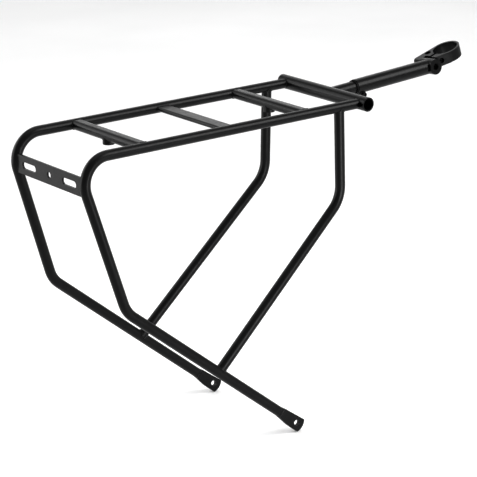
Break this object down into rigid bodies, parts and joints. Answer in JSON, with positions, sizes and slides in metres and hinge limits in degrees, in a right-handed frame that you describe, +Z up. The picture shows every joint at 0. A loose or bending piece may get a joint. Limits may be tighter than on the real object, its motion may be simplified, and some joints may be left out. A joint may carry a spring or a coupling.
{
  "type": "bicycle rear rack",
  "caption": "Bent-tube rear rack with slatted deck, two forked side frames, a rear light plate and a telescoping stay to a seatpost collar.",
  "frame": {"origin": "midway between the lower end centres of the two dropout slots", "axes": "+X forwards along the rack towards the seatpost, +Y to the left of the bicycle, +Z up"},
  "size_m": [0.6253, 0.174, 0.4188],
  "materials": {
    "black_powder_coat": "satin black powder coat",
    "black_nylon": "moulded, matt",
    "black_steel": "black oxide, satin"
  },
  "bodies": {
    "frame": {"side_tube_left": "black_powder_coat", "side_tube_right": "black_powder_coat", "front_leg_left": "black_powder_coat", "front_leg_right": "black_powder_coat", "crossbar": "black_powder_coat", "rear_slat": "black_powder_coat", "middle_slat": "black_powder_coat", "front_slat": "black_powder_coat", "rear_boss": "black_powder_coat", "front_boss": "black_powder_coat", "light_plate": "black_powder_coat", "stay_tube": "black_powder_coat", "stay_plug": "black_nylon"},
    "bush": {"stay_bush": "black_nylon"},
    "sleeve": {"stay_sleeve": "black_powder_coat", "sleeve_lugs": "black_powder_coat", "sleeve_pinch_bolt": "black_steel", "sleeve_pinch_nut": "black_steel", "sleeve_eye": "black_powder_coat", "eye_bush_near": "black_nylon", "eye_bush_far": "black_nylon"},
    "collar": {"seatpost_collar": "black_powder_coat", "pivot_bolt": "black_steel", "pivot_washer": "black_steel", "collar_bolt": "black_steel", "collar_barrel_nut": "black_steel"}
  },
  "joints": [
    {"name": "stay_slide", "type": "slide", "parent": "frame", "child": "bush", "axis": [0.9982, 0, 0.0604], "range_m": [-0.025, 0.035]},
    {"name": "sleeve_swivel", "type": "hinge", "parent": "bush", "child": "sleeve", "pos_m": [0.1115, 0, 0.3718], "axis": [0.9982, 0, 0.0604], "continuous": true},
    {"name": "collar_pivot", "type": "hinge", "parent": "sleeve", "child": "collar", "pos_m": [0.28608, 0, 0.38236], "axis": [0.0059, 0.9952, -0.0974], "range_deg": [-50, 90]}
  ]
}
